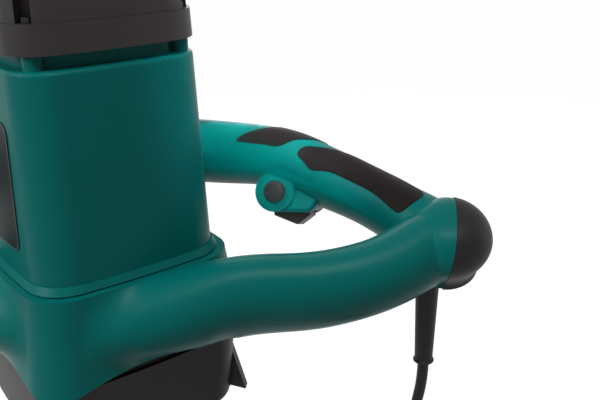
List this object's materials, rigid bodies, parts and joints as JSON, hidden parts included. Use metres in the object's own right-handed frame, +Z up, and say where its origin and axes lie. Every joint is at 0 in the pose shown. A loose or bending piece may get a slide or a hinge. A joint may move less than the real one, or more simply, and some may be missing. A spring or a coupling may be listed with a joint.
{
  "type": "hand-held paint and mortar mixer",
  "caption": "Hand-held electric stirring mixer: upright motor, wide ring handle with trigger and lock button, two-stage gearbox and threaded output spindle.",
  "frame": {"origin": "centre of the mouth of the output spindle's thread", "axes": "+Z up along the spindle and motor, +X across the ring handle towards the switch and cord, -Y to the front"},
  "size_m": [0.4834, 0.1965, 0.5085],
  "materials": {
    "teal_plastic": "moulded, satin",
    "black_plastic": "moulded, satin",
    "soft_grip": "soft, matt",
    "black_rubber": "matt",
    "cast_aluminium": "cast, black coated",
    "steel": "machined",
    "copper": "enamelled wire",
    "brass": "drawn",
    "carbon": "pressed carbon"
  },
  "bodies": {
    "machine": {"motor_housing": "teal_plastic", "handle_frame": "teal_plastic", "right_handle_cover": "teal_plastic", "left_handle_cover": "teal_plastic", "top_cap": "black_plastic", "switch_block": "black_plastic", "bearing_bridge": "black_plastic", "plug_body": "black_plastic", "right_top_pad": "soft_grip", "left_top_pad": "soft_grip", "right_front_pad": "soft_grip", "left_front_pad": "soft_grip", "right_bumper": "black_rubber", "left_bumper": "black_rubber", "strain_relief": "black_rubber", "cord_lead": "black_rubber", "cord_coil": "black_rubber", "cord_tie": "black_rubber", "spindle_seal": "black_rubber", "gearbox_housing": "cast_aluminium", "gear_plate": "cast_aluminium", "stator_core": "steel", "lower_bearing": "steel", "upper_bearing": "steel", "spindle_lower_bearing": "steel", "spindle_upper_bearing": "steel", "trigger_pin": "steel", "trigger_spring": "steel", "lock_spring": "steel", "brush_springs": "steel", "gearbox_screws": "steel", "housing_screws": "steel", "cap_screws": "steel", "cover_screws": "steel", "field_coils": "copper", "brush_holders": "brass", "layshaft_bushes": "brass", "plug_pins": "brass", "carbon_brushes": "carbon"},
    "rotor": {"armature_shaft": "steel", "armature_core": "steel", "armature_winding": "copper", "commutator": "copper", "cooling_fan": "black_plastic"},
    "layshaft_pair": {"layshaft": "steel", "first_wheel": "steel"},
    "spindle": {"output_spindle": "steel", "output_gear": "steel"},
    "trigger": {"trigger": "black_plastic"},
    "lock_button": {"lock_button": "black_plastic"}
  },
  "joints": [
    {"name": "rotor_spin", "type": "hinge", "parent": "machine", "child": "rotor", "pos_m": [0, 0, 0.16], "axis": [0, 0, 1], "continuous": true},
    {"name": "layshaft_spin", "type": "hinge", "parent": "machine", "child": "layshaft_pair", "pos_m": [0, 0.036, 0.07], "axis": [0, 0, 1], "continuous": true},
    {"name": "spindle_spin", "type": "hinge", "parent": "machine", "child": "spindle", "pos_m": [0, 0, 0.04], "axis": [0, 0, 1], "continuous": true},
    {"name": "trigger_pull", "type": "hinge", "parent": "machine", "child": "trigger", "pos_m": [0.10576, 0.06684, 0.15392], "axis": [-0.1949, -0.9086, 0.3695], "range_deg": [0, 11], "stiffness_Nm_per_rad": 0.3, "springref_deg": -11.46, "deforming": ["trigger_spring"]},
    {"name": "lock_press", "type": "slide", "parent": "machine", "child": "lock_button", "axis": [0.1949, 0.9086, -0.3695], "range_m": [0, 0.003], "stiffness_N_per_m": 400, "springref_m": -0.003, "deforming": ["lock_spring"]}
  ],
  "couplings": [
    {"joint": "layshaft_spin", "follows": "rotor_spin", "ratio": -0.125},
    {"joint": "spindle_spin", "follows": "rotor_spin", "ratio": 0.028846}
  ]
}
